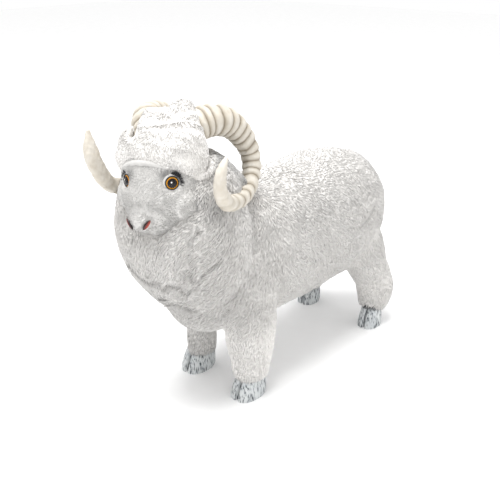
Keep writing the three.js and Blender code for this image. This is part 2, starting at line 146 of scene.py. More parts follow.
# Folds pressed into the fleece: depth, width, and the line each follows.
FOLDS = [
    (
        2.2,
        1.7,
        [(-14, -77, 122), (-6, -78, 117), (4.5, -77, 113.5), (11.5, -76.5, 115), (15.5, -73.5, 110.5)],
    ),
    (2.0, 1.6, [(15.5, -73.5, 110.5), (21, -73, 114.5), (26.5, -70, 113.5), (29, -67, 111)]),
    (2.2, 1.4, [(31, -71.5, 126.5), (32.5, -69.5, 122.5), (36, -64.5, 118.5), (39.5, -62, 122.5)]),
    (2.0, 1.5, [(39.5, -62, 122.5), (43, -58.5, 127), (46.5, -53, 131.5)]),
    (2.2, 1.6, [(6, -64, 93), (14, -64.5, 96), (20, -58.5, 92.5), (22.5, -51.5, 87.5)]),
    (1.4, 1.3, [(25.5, -65, 104.5), (31, -65, 110.5), (35, -63, 114.5)]),
    (1.8, 1.3, [(39.5, -64.5, 154), (38, -67, 150.5)]),
    (1.0, 2.2, [(36.5, -69, 148.5), (35.5, -71, 140.5), (35, -70, 131.5), (34.5, -67.5, 122.5)]),
    (1.0, 2.4, [(46.5, 102.5, 87.5), (49, 100, 101), (49, 114.5, 109.5), (45.5, 137.5, 117.5)]),
]

HEAD = [
    (0, -3, 207, 9, 8),
    (0, -6, 204, 16, 14),
    (0, -11, 199, 22, 19.5),
    (0, -14.5, 191, 26.5, 24),
    (0, -19.5, 179, 27, 24),
    (0, -25.5, 168, 24.5, 21.5),
    (0, -31, 160, 19.5, 18),
    (0, -36.5, 154.5, 12.5, 12),
    (0, -39, 151.5, 7, 6.5),
]
HEAD_MASSES = [
    ((0, -37.5, 160), (10.5, 12, 8)),  # muzzle
    ((17.5, -20, 170.5), (12.5, 16, 13)),  # left cheek
    ((-17.5, -20, 170.5), (12.5, 16, 13)),
]
# The wool on the head: a roll across the forehead, and the knot between the horns above it.
WOOL = [
    (2, -9, 225.5, 6, 5),
    (2, -9, 223.8, 15, 12),
    (1.5, -9, 219, 18.5, 16),
    (1.5, -10, 213, 21.5, 19),
    (3, -13, 207, 24, 20.5),
    (3.5, -16, 201.5, 27.5, 22),
    (0.5, -15.5, 196, 31.5, 20.5),
    (-1, -12, 190, 34, 19),
    (-1, -9, 184, 32, 16),
    (-1, -6, 180, 20, 10),
]
WOOL_CREST = ((8.5, -7, 221), (7.5, 11, 10))
WOOL_LEAN = 0.08  # the roll is lower on the ram's right
# Each horn's line, drawn on the left: x, y, z, radius.
HORNS = {
    "left": [
        (4, -12, 202, 8.5),
        (10, -4, 208.5, 9.8),
        (15, 6, 213.5, 10.3),
        (20, 18.7, 213.8, 10.1),
        (24, 31.7, 208.8, 9.3),
        (27.5, 42, 198.5, 8.1),
        (30.5, 47.5, 187, 7.0),
        (33.5, 44.5, 175, 6.3),
        (37, 32, 166.5, 5.9),
        (41, 11, 164.5, 5.6),
        (44.5, -12, 169.5, 5.1),
        (46.5, -24.5, 179.5, 4.4),
        (48, -28.6, 189, 3.8),
        (49.5, -28, 197, 2.9),
        (50.5, -24.5, 203, 0.9),
    ],
    "right": [
        (12, -12, 206, 9.6),
        (22.5, 2, 213, 10.2),
        (25, 18, 213, 9.4),
        (28, 34, 204.5, 8.1),
        (31, 44, 188.5, 7.1),
        (35, 41, 173, 6.4),
        (39, 25, 165.5, 6.0),
        (43, 5, 164.5, 5.7),
        (46, -14, 171, 5.0),
        (48, -24, 186, 4.2),
        (49.5, -26.5, 197, 3.6),
        (50.5, -26.5, 209.5, 0.9),
    ],
}
HORN_RIBS = 24
RIB_DEPTH = 0.17  # beside the horn's radius there
RIBBED_SHARE = 0.86  # how far along the horn the ribs go
TIP_WIDENING = 0.4
EAR_ROOT = np.array([25.0, 3.0, 191.5])
EAR_ALONG = np.array([0.38, 0.65, -0.66])
EAR_LENGTH = 34
EAR_WIDTH = 9.5
EAR_ROWS = 40
EAR_SIDES = 36


def ram_origin():
    """The ram's own origin in the CAD's frame: on the ground midway between the front legs."""
    left_low, left_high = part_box("hoof_front_left")
    right_low, right_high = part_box("hoof_front_right")
    middle = (left_low.x + left_high.x + right_low.x + right_high.x) / 4
    return np.array([middle, left_high.y - HEEL_BEHIND_LEG * MM, left_low.z])


ORIGIN = ram_origin()


# ---- points and fields ----
def unit(vectors):
    """The vectors of an array, each made one long."""
    lengths = np.linalg.norm(vectors, axis=-1, keepdims=True)
    return vectors / np.maximum(lengths, 1e-9)


def smoothstep(values, low, high):
    """0 below low, 1 above high, and a soft step between them."""
    t = np.clip((values - low) / (high - low), 0, 1)
    return t * t * (3 - 2 * t)


def turns(count):
    """Angles evenly round a circle."""
    return np.linspace(0, 2 * math.pi, count, endpoint=False)


def bell(values, width):
    """1 at zero, fading away on both sides over the width."""
    return np.exp(-((values / width) ** 2))


def waves(points, size, seed):
    """A smooth random field of about -1 to 1, whose lumps are about size across."""
    count = 9
    draw = np.random.default_rng(seed)
    directions = unit(draw.normal(size=(count, 3))) * draw.uniform(0.6, 1.5, (count, 1))
    phases = draw.uniform(0, 2 * math.pi, count)
    return np.sin(points @ directions.T * (math.pi / size) + phases).sum(1) / math.sqrt(count)


def from_head(points):
    """Points of the head's frame in the ram's frame."""
    x, y, z = np.moveaxis(np.asarray(points, float), -1, 0)
    c, s = math.cos(HEAD_TURN), math.sin(HEAD_TURN)
    return np.stack([c * x - s * y, s * x + c * y, z], -1) + HEAD_PIVOT


def turn_from_head(vectors):
    """Directions of the head's frame in the ram's frame."""
    return from_head(vectors) - HEAD_PIVOT


def to_head(points):
    """Points of the ram's frame in the head's frame."""
    x, y, z = np.moveaxis(np.asarray(points, float) - HEAD_PIVOT, -1, 0)
    c, s = math.cos(HEAD_TURN), math.sin(HEAD_TURN)
    return np.stack([c * x + s * y, c * y - s * x, z], -1)


def mirrored(rows, side):
    """Rows whose first number is x, on the given side."""
    return [(side * row[0], *row[1:]) for row in rows]


def spline(rows, count):
    """A smooth curve through the rows, sampled count times."""
    rows = np.asarray(rows, float)
    padded = np.vstack([2 * rows[0] - rows[1], rows, 2 * rows[-1] - rows[-2]])
    t = np.linspace(0, len(rows) - 1, count)
    i = np.minimum(t.astype(int), len(rows) - 2)
    u = (t - i)[:, None]
    a, b, c, d = (padded[i + k] for k in range(4))
    square = 2 * a - 5 * b + 4 * c - d
    cube = 3 * b - a - 3 * c + d
    return 0.5 * (2 * b + (c - a) * u + square * u**2 + cube * u**3)


# ---- shapes: (points, faces) ----
def tube_faces(rings, sides):
    """Quads between rings of points, with the two ends closed by a fan round an end point."""
    last = rings * sides
    faces = []
    for j in range(sides):
        k = (j + 1) % sides
        faces.append((last, k, j))
        faces.append((last + 1, (rings - 1) * sides + j, (rings - 1) * sides + k))
        for i in range(rings - 1):
            a, b = i * sides, (i + 1) * sides
            faces.append((a + j, a + k, b + k, b + j))
    return faces


def ring_frame(centres, widthways=(1, 0, 0)):
    """The directions across and outward at each centre of a curve."""
    along = unit(np.gradient(centres, axis=0))
    wide = np.asarray(widthways, float)
    across = unit(wide - (along @ wide)[:, None] * along)
    return across, np.cross(along, across)


def loft(stations, rings=36, sides=40, widthways=(1, 0, 0)):
    """A closed body through elliptical stations of x, y, z, half width and half depth."""
    rows = spline(stations, rings)
    centres, sizes = rows[:, :3], np.maximum(rows[:, 3:5], 0.2)
    across, outward = ring_frame(centres, widthways)
    angle = turns(sides)
    x = np.cos(angle)[None, :, None] * sizes[:, 0, None, None] * across[:, None]
    y = np.sin(angle)[None, :, None] * sizes[:, 1, None, None] * outward[:, None]
    points = (centres[:, None] + x + y).reshape(-1, 3)
    return np.vstack([points, centres[0], centres[-1]]), tube_faces(rings, sides)


def blob(centre, radii, rings=24, sides=32):
    """An ellipsoid."""
    pole = 0.02
    t = np.linspace(pole, math.pi - pole, rings)
    stations = np.column_stack([np.zeros(rings), np.zeros(rings), -np.cos(t), np.sin(t), np.sin(t)])
    points, faces = loft_exact(stations, sides)
    return points * np.asarray(radii, float) + np.asarray(centre, float), faces


def loft_exact(stations, sides):
    """A closed body of revolution about Z: rings exactly at the stations."""
    rings = len(stations)
    angle = turns(sides)
    circle = np.column_stack([np.cos(angle), np.sin(angle), np.zeros(sides)])
    points = [row[:3] + circle * (row[3], row[4], 0) for row in stations]
    return np.vstack([*points, stations[0][:3], stations[-1][:3]]), tube_faces(rings, sides)


def joined(shapes):
    """One shape made of several."""
    points, faces, first = [], [], 0
    for shape_points, shape_faces in shapes:
        points.append(shape_points)
        faces += [tuple(first + k for k in face) for face in shape_faces]
        first += len(shape_points)
    return np.vstack(points), faces


def mesh_of(name, points, faces):
    """A Blender mesh of points in the ram's frame, smooth shaded."""
    mesh = bpy.data.meshes.new(name)
    places = np.asarray(points) * MM + ORIGIN
    mesh.from_pydata(places.tolist(), [], [tuple(map(int, face)) for face in faces])
    mesh.shade_smooth()
    mesh.update()
    return mesh


def add_object(name, data):
    """An object of a mesh, light or camera, in the scene."""
    made = bpy.data.objects.new(name, data)
    bpy.context.scene.collection.objects.link(made)
    return made


def skin_round(shapes, voxel, passes):
    """Points and quads of one smooth skin round overlapping closed shapes."""
    rough = add_object("rough", mesh_of("rough", *joined(shapes)))
    remesh = rough.modifiers.new("remesh", "REMESH")
    remesh.mode = "VOXEL"
    remesh.voxel_size = voxel * MM
    soften = rough.modifiers.new("soften", "SMOOTH")
    soften.factor = 0.5
    soften.iterations = passes
    made = rough.evaluated_get(bpy.context.evaluated_depsgraph_get()).to_mesh()
    points = np.empty(len(made.vertices) * 3, np.float32)
    made.vertices.foreach_get("co", points)
    quads = np.empty(len(made.loops), np.int32)
    made.loops.foreach_get("vertex_index", quads)
    bpy.data.objects.remove(rough)
    return (points.reshape(-1, 3).astype(float) - ORIGIN) / MM, quads.reshape(-1, 4)


def point_normals(points, quads):
    """The outward direction at each point of a quad mesh."""
    a, b, c, d = (points[quads[:, k]] for k in range(4))
    faces = np.cross(c - a, d - b)
    normals = np.zeros_like(points)
    for k in range(4):
        np.add.at(normals, quads[:, k], faces)
    return unit(normals)


def crease(points, normals, line, depth, width):
    """Presses a groove into the points along a line, with a soft lip on both sides of it."""
    path = spline(line, 60)
    gap = np.full(len(points), np.inf)
    for place in path:
        gap = np.minimum(gap, np.linalg.norm(points - place, axis=1))
    groove = bell(gap, width)
    lip = 0.35 * bell(gap - 2.4 * width, width)
    return points - normals * (depth * (groove - lip))[:, None]


# ---- materials ----
WHITE = (1, 1, 1)
IRIS_EDGE = 0.9  # the tone at the iris's outer edge; the catch light's tone is 1


def new_material(name):
    """A material with its nodes and links, and its Principled shader."""
    material = bpy.data.materials.new(name)
    material.use_nodes = True
    tree = material.node_tree
    return material, tree, tree.nodes["Principled BSDF"]


def set_inputs(node, values):
    """Sets a node's inputs by name."""
    for name, value in values.items():
        node.inputs[name].default_value = value


def tone_node(tree):
    """The tone kept at the points of the mesh."""
    tone = tree.nodes.new("ShaderNodeAttribute")
    tone.attribute_name = "tone"
    return tone


def noise_node(tree, scale, detail=3.0, stretch=(1, 1, 1)):
    """A noise pattern fixed to the object, with its coordinates stretched."""
    place = tree.nodes.new("ShaderNodeTexCoord")
    mapping = tree.nodes.new("ShaderNodeMapping")
    set_inputs(mapping, {"Scale": stretch})
    noise = tree.nodes.new("ShaderNodeTexNoise")
    set_inputs(noise, {"Scale": scale, "Detail": detail})
    tree.links.new(place.outputs["Object"], mapping.inputs["Vector"])
    tree.links.new(mapping.outputs["Vector"], noise.inputs["Vector"])
    return noise


def ramp_node(tree, pattern, stops):
    """Colours along a tone or a noise: (position, colour) pairs."""
    ramp = tree.nodes.new("ShaderNodeValToRGB")
    elements = ramp.color_ramp.elements
    while len(elements) < len(stops):
        elements.new(0.5)
    for element, (position, colour) in zip(elements, stops):
        element.position = position
        element.color = (*colour, 1)
    tree.links.new(pattern.outputs["Fac"], ramp.inputs["Fac"])
    return ramp


def paint(tree, shader, *layers):
    """Gives the shader the colours of the layers, multiplied."""
    colour = layers[0].outputs["Color"]
    for layer in layers[1:]:
        mix = tree.nodes.new("ShaderNodeMix")
        mix.data_type = "RGBA"
        mix.blend_type = "MULTIPLY"
        set_inputs(mix, {"Factor": 1})
        tree.links.new(colour, mix.inputs["A"])
        tree.links.new(layer.outputs["Color"], mix.inputs["B"])
        colour = mix.outputs["Result"]
    tree.links.new(colour, shader.inputs["Base Color"])


def vary_roughness(tree, shader, pattern, low, high):
    """Roughness from low to high along a noise."""
    rough = tree.nodes.new("ShaderNodeMapRange")
    set_inputs(rough, {"To Min": low, "To Max": high})
    tree.links.new(pattern.outputs["Fac"], rough.inputs["Value"])
    tree.links.new(rough.outputs["Result"], shader.inputs["Roughness"])


def add_bump(tree, shader, pattern, distance, strength):
    """Fine relief from a noise, its distance in metres."""
    bump = tree.nodes.new("ShaderNodeBump")
    set_inputs(bump, {"Distance": distance, "Strength": strength})
    tree.links.new(pattern.outputs["Fac"], bump.inputs["Height"])
    tree.links.new(bump.outputs["Normal"], shader.inputs["Normal"])


def pile_material(name, light, dark):
    """Pile fabric: the tone kept in the mesh, times slow and fine changes of white."""
    material, tree, shader = new_material(name)
    slow = ramp_node(tree, noise_node(tree, 35), [(0.3, dark), (0.7, light)])
    fine = noise_node(tree, 900, 2)
    speck = ramp_node(tree, fine, [(0.35, (0.93, 0.93, 0.93)), (0.6, WHITE)])
    paint(tree, shader, tone_node(tree), slow, speck)
    set_inputs(shader, {"Roughness": 0.85, "Specular IOR Level": 0.25})
    set_inputs(shader, {"Sheen Weight": 0.25, "Sheen Roughness": 0.4})
    add_bump(tree, shader, fine, 0.0002, 0.3)
    return material


def horn_material():
    """Satin ivory plastic, darker and browner in the grooves between the ribs."""
    material, tree, shader = new_material("horn_ivory")
    groove_browns = [(0.0, (0.20, 0.165, 0.12)), (0.45, (0.42, 0.38, 0.315)), (1.0, (0.60, 0.565, 0.505))]
    depth = ramp_node(tree, tone_node(tree), groove_browns)
    streaks = noise_node(tree, 160, 5)
    shade = ramp_node(tree, streaks, [(0.3, (0.86, 0.83, 0.78)), (0.65, WHITE)])
    paint(tree, shader, depth, shade)
    vary_roughness(tree, shader, streaks, 0.38, 0.6)
    add_bump(tree, shader, streaks, 0.0004, 0.35)
    return material


def hoof_material():
    """Light grey paint with dark streaks dry-brushed down the hoof, times the mesh's tone, which
    darkens the hoof's top as painted shade.
    """
    material, tree, shader = new_material("hoof_paint")
    streaks = noise_node(tree, 900, 5, (1, 1, 0.2))
    greys = [(0.36, (0.05, 0.06, 0.07)), (0.44, (0.34, 0.36, 0.37)), (0.52, (0.60, 0.62, 0.62))]
    colour = ramp_node(tree, streaks, greys)
    wash = ramp_node(tree, noise_node(tree, 90, 3), [(0.35, (0.84, 0.85, 0.87)), (0.6, WHITE)])
    paint(tree, shader, colour, wash, tone_node(tree))
    set_inputs(shader, {"Roughness": 0.5})
    add_bump(tree, shader, streaks, 0.0005, 0.5)
    return material


def plastic_material():
    """Bare moulded plastic with a fine mottle."""
    material, tree, shader = new_material("moulded_plastic")
    mottle = noise_node(tree, 260, 4)
    paint(tree, shader, ramp_node(tree, mottle, [(0.3, (0.62, 0.60, 0.54)), (0.7, (0.74, 0.72, 0.66))]))
    set_inputs(shader, {"Roughness": 0.55})
    add_bump(tree, shader, mottle, 0.0003, 0.2)
    return material


def iris_material():
    """A black pupil, an amber ring with dark edges, and the white catch light, along the tone."""
    material, tree, shader = new_material("eye_paint")
    rings = [
        (0.0, (0.004, 0.004, 0.006)),
        (0.665, (0.004, 0.004, 0.006)),
        (0.69, (0.42, 0.13, 0.006)),
        (0.77, (0.86, 0.42, 0.02)),
        (0.85, (0.62, 0.24, 0.01)),
        (IRIS_EDGE, (0.05, 0.015, 0.004)),
        (0.98, (0.95, 0.95, 0.95)),
    ]
    colour = ramp_node(tree, tone_node(tree), rings)
    shade = ramp_node(tree, noise_node(tree, 1500, 3), [(0.3, (0.7, 0.66, 0.6)), (0.6, WHITE)])
    paint(tree, shader, colour, shade)
    set_inputs(shader, {"Roughness": 0.08, "Specular IOR Level": 0.3})
    return material


def glass_material():
    """The clear dome, nearly see-through, with a faint film."""
    material, tree, shader = new_material("eye_glass")
    set_inputs(shader, {"Base Color": (0.02, 0.02, 0.02, 1), "Alpha": 0.05})
    vary_roughness(tree, shader, noise_node(tree, 300, 2), 0.01, 0.04)
    return material


def nostril_material():
    """Glossy red lining, darkened to nearly black where it is deepest: painted shade."""
    material, tree, shader = new_material("nostril_red")
    reds_and_shade = [(0.0, (0.01, 0.002, 0.002)), (0.5, (0.16, 0.012, 0.008)), (1.0, (0.42, 0.04, 0.012))]
    colour = ramp_node(tree, tone_node(tree), reds_and_shade)
    shade = ramp_node(tree, noise_node(tree, 900, 3), [(0.3, (0.7, 0.6, 0.6)), (0.6, WHITE)])
    paint(tree, shader, colour, shade)
    set_inputs(shader, {"Roughness": 0.25})
    return material


# The material of each slot, and of the bare mouldings.
MATERIALS = {
    "fleece": pile_material("fleece_pile", (0.755, 0.738, 0.716), (0.71, 0.693, 0.672)),
    "face_pile": pile_material("face_pile", (0.575, 0.565, 0.55), (0.53, 0.52, 0.505)),
    "lash": pile_material("lash_pile", (0.03, 0.03, 0.034), (0.012, 0.012, 0.014)),
    "horn": horn_material(),
    "hoof": hoof_material(),
    "plastic": plastic_material(),
    "eye_amber": iris_material(),
    "eye_glass": glass_material(),
    "nostril": nostril_material(),
}


# ---- pieces ----
def add_piece(name, shape, slot, nodes=(), tone=None):
    """A named piece in its slot's material, with the CAD nodes it stands for."""
    points, faces = shape
    mesh = mesh_of(name, points, faces)
    values = np.ones(len(points)) if tone is None else np.asarray(tone, float)
    colours = np.repeat(values[:, None], 4, 1)
    colours[:, 3] = 1
    tones = mesh.color_attributes.new("tone", "FLOAT_COLOR", "POINT")
    tones.data.foreach_set("color", colours.ravel())
    mesh.materials.append(MATERIALS[slot])
    piece = add_object(name, mesh)
    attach(piece, "root")
    if nodes:
        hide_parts(*nodes)
    return piece


# The corners of a lock: its buried root, the left, right and top of its thickest part, and its tip.
LOCK_TRIANGLES = np.array([(1, 2, 0), (2, 3, 0), (3, 1, 0), (1, 4, 2), (2, 4, 3), (3, 4, 1)])
LOCK_CORNERS = 5
THICKEST = 0.42  # how far along a lock it is thickest
LOCK_SECTION = ((-1, -0.3), (1, -0.3), (0, 0.6))  # across and up there, in half widths
ROOT_DEPTH = 0.35
ROOT_BACK = 0.12  # how far behind its place a root starts, beside the lock's run


def lock_points(roots, normals, flows, length, width, lift, curl):
    """The five corners of each lock."""
    side = np.cross(flows, normals)
    half = (width / 2)[:, None]
    run = (length * np.cos(lift))[:, None]
    rise = (length * np.sin(lift))[:, None]
    bend = (curl * length)[:, None]
    middle = roots + flows * run * THICKEST + normals * rise * THICKEST * 1.3 + side * bend * THICKEST
    corners = [roots - normals * ROOT_DEPTH - flows * run * ROOT_BACK]
    for across, up in LOCK_SECTION:
        corners.append(middle + side * half * across + normals * half * up)
    corners.append(roots + flows * run + normals * rise - side * bend * 0.3)
    return np.stack(corners, 1)


def add_locks(name, roots, normals, flows, style, tone, slot, draw):
    """Pieces of pile: one closed tapering lock for each root."""
    count = len(roots)
    length = style["length"] * draw.uniform(0.7, 1.25, count)
    width = style["width"] * draw.uniform(0.7, 1.3, count)
    lift = style["lift"] * (1 + 0.35 * waves(roots, style["clump"], 11)) + draw.normal(0, 0.035, count)
    curl = style["curl"] * waves(roots, style["clump"] * 0.7, 12) + draw.normal(0, 0.05, count)
    points = lock_points(roots, normals, flows, length, width, np.clip(lift, 0.02, 1.4), curl)
    shade = tone * draw.uniform(0.94, 1.0, count)
    # Painted shade: each lock is darkened at its root and along its sides, its top ridge and tip left
    # lightest.
    middle = 0.5 + 0.5 * style["root"]
    tones = shade[:, None] * np.array([style["root"], middle, middle, 1.0, 1.0])[None]
    parts = max(1, math.ceil(count / MOST_LOCKS))
    made = []
    for number, chosen in enumerate(np.array_split(np.arange(count), parts), 1):
        first = LOCK_CORNERS * np.arange(len(chosen))[:, None, None]
        faces = (LOCK_TRIANGLES[None] + first).reshape(-1, 3)
        label = f"{name}_{number}" if parts > 1 else name
        shape = (points[chosen].reshape(-1, 3), faces)
        made.append(add_piece(label, shape, slot, tone=tones[chosen].ravel()))
    return made


def spread(points, normals, quads, per_mm2, draw):
    """Random places on a quad mesh, with the outward direction at each."""
    a, b, c, d = (points[quads[:, k]] for k in range(4))
    area = 0.5 * np.linalg.norm(np.cross(c - a, d - b), axis=1)
    count = int(area.sum() * per_mm2)
    chosen = np.sort(draw.choice(len(quads), count, p=area / area.sum()))
    u, v = draw.uniform(size=(2, count, 1))
    weights = ((1 - u) * (1 - v), u * (1 - v), u * v, (1 - u) * v)
    places = sum(w * points[quads[chosen, k]] for k, w in enumerate(weights))
    outward = unit(sum(w * normals[quads[chosen, k]] for k, w in enumerate(weights)))
    return places, outward


def combed(directions, normals, swirl):
    """The directions laid flat on the surface and turned by the angles of swirl."""
    flat = unit(directions - (directions * normals).sum(1, keepdims=True) * normals)
    side = np.cross(normals, flat)
    return flat * np.cos(swirl)[:, None] + side * np.sin(swirl)[:, None]


def tree_of(points, faces):
    """A search tree of a surface's faces."""
    return BVHTree.FromPolygons([Vector(p) for p in points], [tuple(map(int, f)) for f in faces])


def outside(tree, places):
    """Which places are outside a closed surface."""
    keep = np.ones(len(places), bool)
    for i, place in enumerate(places):
        nearest, normal, _, gap = tree.find_nearest(Vector(place))
        keep[i] = gap > FAR_OUTSIDE or (Vector(place) - nearest).dot(normal) > 0
    return keep


def nearest_node(places, nodes):
    """For each place, the number of the CAD node whose surface is nearest."""
    best = np.full(len(places), np.inf)
    found = np.zeros(len(places), int)
    for number, name in enumerate(nodes):
        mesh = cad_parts[name].data
        corners = (np.array([v.co for v in mesh.vertices]) - ORIGIN) / MM
        tree = tree_of(corners, [p.vertices for p in mesh.polygons])
        gaps = np.array([tree.find_nearest(Vector(place))[3] for place in places])
        closer = gaps < best
        best[closer] = gaps[closer]
        found[closer] = number
    return found


def patch(points, quads):
    """Only the points that the quads use, with the quads renumbered."""
    used, renumbered = np.unique(quads, return_inverse=True)
    return points[used], renumbered.reshape(-1, 4)


# ---- body ----
BODY_NODES = {
    "torso_fleece_left": "fleece_torso_left",
    "torso_fleece_right": "fleece_torso_right",
    "chest_bib": "fleece_bib",
    "neck_collar": "fleece_collar",
    "leg_sleeve_front_left": "fleece_leg_front_left",
    "leg_sleeve_front_right": "fleece_leg_front_right",
    "leg_sleeve_rear_left": "fleece_leg_rear_left",
    "leg_sleeve_rear_right": "fleece_leg_rear_right",
    "tail": "fleece_tail",
}
# In each pile, "root" is the painted shade at the locks' roots, beside their tips.
BODY_PILE = {"length": 5.4, "width": 0.8, "lift": 0.11, "clump": 9.0, "curl": 0.03, "root": 0.74}
BODY_DENSITY = 1.25  # locks on each square millimetre
SKIN_TONE = 0.8  # painted shade: the backing under the pile is darker than the pile's own white
NECK_HOLLOW = np.array([45.0, -53.0, 168.0])  # the shaded place under the left horn
NECK_HOLLOW_RADII = (8, 9, 9)
HOLLOW_DEPTH = 4.5  # pressed into the body where the head meets it
# Painted shade and painted light: how much darker or lighter than the fleece's own white its parts are
# made.
NECK_SHADE = 0.42
BRISKET_SHADE = 0.15
FOLD_SHADE = 0.2  # for each millimetre that a fold is deep
BACK_LIGHT = 0.22
FRONT_LEG_LIGHT = 0.3
REAR_LEG_LIGHT = 0.13


def settled(line, tree):
    """A fold's line, drawn finely and laid on the surface."""
    fine = spline(line, 40)
    return np.array([tree.find_nearest(Vector(place))[0] for place in fine])


def body_skin(head_tree):
    """The fleece's backing and its folds: slow swells, and a hollow where the head meets it."""
    shapes = [
        loft(TORSO),
        loft(CHEST),
        loft(FRONT_LEFT_LEG),
        loft(FRONT_RIGHT_LEG),
        loft(REAR_LEG),
        loft(mirrored(REAR_LEG, -1)),
        loft(TAIL),
    ]
    shapes += [blob(*mass) for mass in BODY_MASSES]
    points, quads = skin_round(shapes, voxel=1.6, passes=14)
    normals = point_normals(points, quads)
    swell = 0.7 * waves(points, 28, 1) + 0.16 * waves(points, 11, 2)
    gap = np.array([head_tree.find_nearest(Vector(place))[3] for place in points])
    hollow = HOLLOW_DEPTH * bell(gap, 5) * smoothstep(points[:, 2], 176, 164)
    points = points + normals * (swell - hollow)[:, None]
    tree = tree_of(points, quads)
    folds = [(depth, width, settled(line, tree)) for depth, width, line in FOLDS]
    for depth, width, line in folds:
        points = crease(points, normals, line, depth, width)
    return points, quads, folds


def body_tone(places, folds):
    """How light the fleece is: painted shade low in front, in folds and under the left horn, painted
    light above and on the left legs.
    """
    x, y, z = places.T
    brisket = smoothstep(z, 122, 90) * smoothstep(y, 5, -30)
    tone = 1 - BRISKET_SHADE * brisket + BACK_LIGHT * smoothstep(z, 132, 155) * smoothstep(y, -10, 20)
    left_leg = smoothstep(z, 78, 50) * (x > 0)
    tone += left_leg * (FRONT_LEG_LIGHT * (y < 40) + REAR_LEG_LIGHT * (y > 80))
    neck = np.linalg.norm((places - NECK_HOLLOW) / NECK_HOLLOW_RADII, axis=1)
    tone -= NECK_SHADE * bell(neck, 1)
    for depth, width, line in folds:
        gap = np.linalg.norm(places[:, None] - line[None, ::3], axis=2).min(1)
        tone -= FOLD_SHADE * depth * bell(gap, width)
    return tone


def body_flow(places):
    """How the body's pile is brushed: forward and down at the chest, back and down on the flanks."""
    x, y, z = places.T
    back = smoothstep(y, -8, 32)[:, None]
    low = smoothstep(z, 60, 35)[:, None]
    inward = -0.35 * np.clip(x / 20, -1, 1)
    chest = np.column_stack([inward, np.full(len(x), -0.5), np.full(len(x), -0.8)])
    flank = np.array([[0, 0.5, -0.85]])
    down = np.array([[0, -0.15, -1]])
    flow = chest * (1 - back) + flank * back
    return flow * (1 - low) + down * low


def build_body():
    """The body's backing, cut into the CAD's covers, and the pile on it."""
    head_tree = tree_of(*head_solid())
    points, quads, folds = body_skin(head_tree)
    normals = point_normals(points, quads)
    labels = nearest_node(points[quads].mean(1), BODY_NODES)
    for number, (node, name) in enumerate(BODY_NODES.items()):
        own = quads[labels == number]
        skin = patch(points, own)
        tone = SKIN_TONE * body_tone(skin[0], folds)
        piece = add_piece(name, skin, "fleece", [node], tone)
        draw = np.random.default_rng(100 + number)
        roots, outward = spread(points, normals, own, BODY_DENSITY, draw)
        keep = outside(head_tree, roots)
        roots, outward = roots[keep], outward[keep]
        swirl = 0.2 * waves(roots, 30, 21) + 0.1 * waves(roots, 8, 22)
        flows = combed(body_flow(roots), outward, swirl + draw.normal(0, 0.08, len(roots)))
        tone = body_tone(roots, folds) + 0.02 * waves(roots, 9, 23)
        pile_name = name.replace("fleece", "pile")
        add_locks(pile_name, roots, outward, flows, BODY_PILE, tone, "fleece", draw)


# ---- head ----
# In each pile, "root" is the painted shade at the locks' roots, beside their tips.
WOOL_PILE = {"length": 3.5, "width": 0.8, "lift": -0.05, "clump": 6.0, "curl": 0.05, "root": 0.86}
FACE_LOCKS = {"length": 2.4, "width": 0.5, "lift": 0.09, "clump": 6.0, "curl": 0.06, "root": 0.88}
EAR_LOCKS = {"length": 3.0, "width": 0.6, "lift": 0.16, "clump": 4.0, "curl": 0.1, "root": 0.8}
LASH_LOCKS = {"length": 2.6, "width": 0.4, "lift": 0.15, "clump": 3.0, "curl": 0.1, "root": 0.9}
LASHES = {1: 300, -1: 80}
LASH_TUFTS = [1.0, 0.1]  # the angle round the eye of the upper tuft and of the outer one
LASH_SHARES = [0.75, 0.25]
WOOL_DENSITY = 1.5
FACE_DENSITY = 2.4
EAR_DENSITY = 2.2
# Painted light: the wool on the head is made lighter than the fleece's own white, its backing a little
# less.
WOOL_TONE = 1.16  # beside the fleece's own white
WOOL_SKIN_TONE = 1.04
MOUTH_LINE = [(-10, -44, 157.5), (-5, -48.5, 155), (0, -50, 154.4), (6, -49, 154.8), (12, -44, 157.5)]


def head_shapes():
    """The closed shapes that make the face."""
    shapes = [loft(HEAD)] + [blob(*mass) for mass in HEAD_MASSES]
    return [(from_head(points), faces) for points, faces in shapes]


def wool_shapes():
    """The closed shapes that make the wool on the head."""
    shapes = [loft(WOOL), blob(*WOOL_CREST)]
    lean = np.array([[1, 0, WOOL_LEAN], [0, 1, 0], [0, 0, 1]])
    return [(from_head(points @ lean), faces) for points, faces in shapes]


def head_solid():
    """The whole head, to keep the body's pile out of it."""
    return joined(head_shapes() + wool_shapes())


def eye_frame(side):
    """The eye's centre, and its directions rightward, upward and forward, in the head's frame."""
    turn = EYE_OUTWARD[side]
    forward = unit(np.array([side * math.sin(turn), -math.cos(turn), EYE_UPWARD]))
    rightward = unit(np.cross([0, 0, 1], forward))
    return EYE_PLACES[side], rightward, np.cross(forward, rightward), forward


def in_eye_frame(points, side):
    """Points about the eye, placed in the ram's frame."""
    centre, rightward, upward, forward = eye_frame(side)
    return from_head(centre + points @ np.array([rightward, upward, forward]))


def nostril_gap(local, side):
    """How far points of the head's frame are from the middle line of a nostril."""
    top, end = NOSTRILS[side]
    along = end - top
    share = np.clip((local - top) @ along / (along @ along), 0, 1)
    return np.linalg.norm(local - top - share[:, None] * along, axis=1)


def spot(points, place, radius):
    """A soft round spot: 1 at the place, fading over the radius."""
    return bell(np.linalg.norm(points - place, axis=1), radius)


